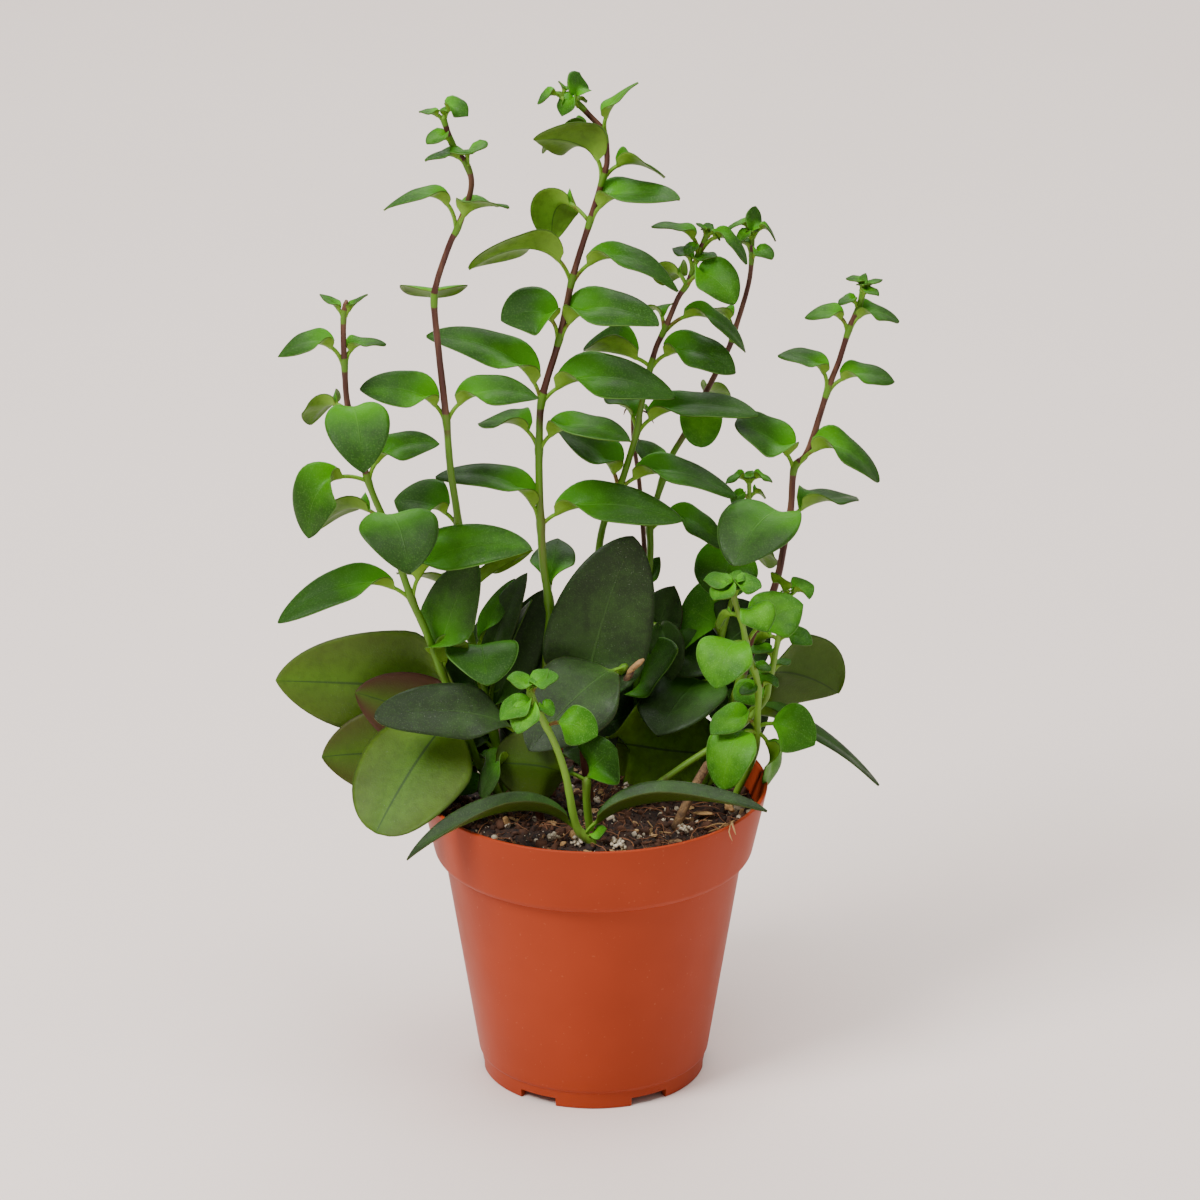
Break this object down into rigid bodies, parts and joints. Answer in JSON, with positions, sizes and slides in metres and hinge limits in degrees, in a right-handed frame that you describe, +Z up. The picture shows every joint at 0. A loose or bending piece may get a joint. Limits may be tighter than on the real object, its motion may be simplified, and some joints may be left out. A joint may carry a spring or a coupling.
{
  "type": "potted lipstick plant",
  "caption": "Bushy lipstick plant in a round terracotta-coloured nursery pot: upright leafy cuttings with opposite pairs of pointed, fleshy leaves, rooted in a peat mix.",
  "frame": {"origin": "on the surface that the pot stands on, under the middle of the whole plant's outline, which is within 2 mm of the pot's own axis", "axes": "+Z up along the pot's axis, -Y towards the viewer at the front, +X to the viewer's right"},
  "size_m": [0.1841, 0.106, 0.3112],
  "materials": {
    "pot_plastic": "satin",
    "soil_mix": "matte",
    "stem_a": "satin",
    "stem_b": "satin",
    "stem_c": "satin",
    "stem_d": "satin",
    "stem_e": "satin",
    "stem_f": "satin",
    "stem_g": "satin",
    "stem_h": "satin",
    "stem_i": "satin",
    "stem_j": "satin",
    "stem_k": "satin",
    "stem_m": "satin",
    "stem_n": "satin",
    "stem_o": "satin",
    "leaves_a": "satin",
    "leaves_b": "satin",
    "leaves_c": "satin",
    "leaves_d": "satin",
    "leaves_e": "satin",
    "leaves_f": "satin",
    "leaves_g": "satin",
    "leaves_h": "satin",
    "leaves_i": "satin",
    "leaves_n": "satin",
    "leaves_o": "satin"
  },
  "bodies": {
    "root": {"pot": "pot_plastic", "soil": "soil_mix", "stem_a": "stem_a", "stem_b": "stem_b", "stem_c": "stem_c", "stem_d": "stem_d", "stem_e": "stem_e", "stem_f": "stem_f", "stem_g": "stem_g", "stem_h": "stem_h", "stem_i": "stem_i", "stem_j": "stem_j", "stem_k": "stem_k", "stem_m": "stem_m", "stem_n": "stem_n", "stem_o": "stem_o", "leaves_a1": "leaves_a", "leaves_a2": "leaves_a", "leaves_a3": "leaves_a", "leaves_a4": "leaves_a", "leaves_a5": "leaves_a", "leaves_a6": "leaves_a", "leaves_a7": "leaves_a", "leaves_a8": "leaves_a", "leaves_b1": "leaves_b", "leaves_b2": "leaves_b", "leaves_b3": "leaves_b", "leaves_b4": "leaves_b", "leaves_b5": "leaves_b", "leaves_b6": "leaves_b", "leaves_c1": "leaves_c", "leaves_c2": "leaves_c", "leaves_c3": "leaves_c", "leaves_c4": "leaves_c", "leaves_c5": "leaves_c", "leaves_c6": "leaves_c", "leaves_c7": "leaves_c", "leaves_c8": "leaves_c", "leaves_d1": "leaves_d", "leaves_d2": "leaves_d", "leaves_d3": "leaves_d", "leaves_d4": "leaves_d", "leaves_d5": "leaves_d", "leaves_d6": "leaves_d", "leaves_e1": "leaves_e", "leaves_e2": "leaves_e", "leaves_f1": "leaves_f", "leaves_f2": "leaves_f", "leaves_f3": "leaves_f", "leaves_f4": "leaves_f", "leaves_f5": "leaves_f", "leaves_g1": "leaves_g", "leaves_g2": "leaves_g", "leaves_h1": "leaves_h", "leaves_h2": "leaves_h", "leaves_h3": "leaves_h", "leaves_i1": "leaves_i", "leaves_n1": "leaves_n", "leaves_n2": "leaves_n", "leaves_o1": "leaves_o"}
  },
  "joints": []
}
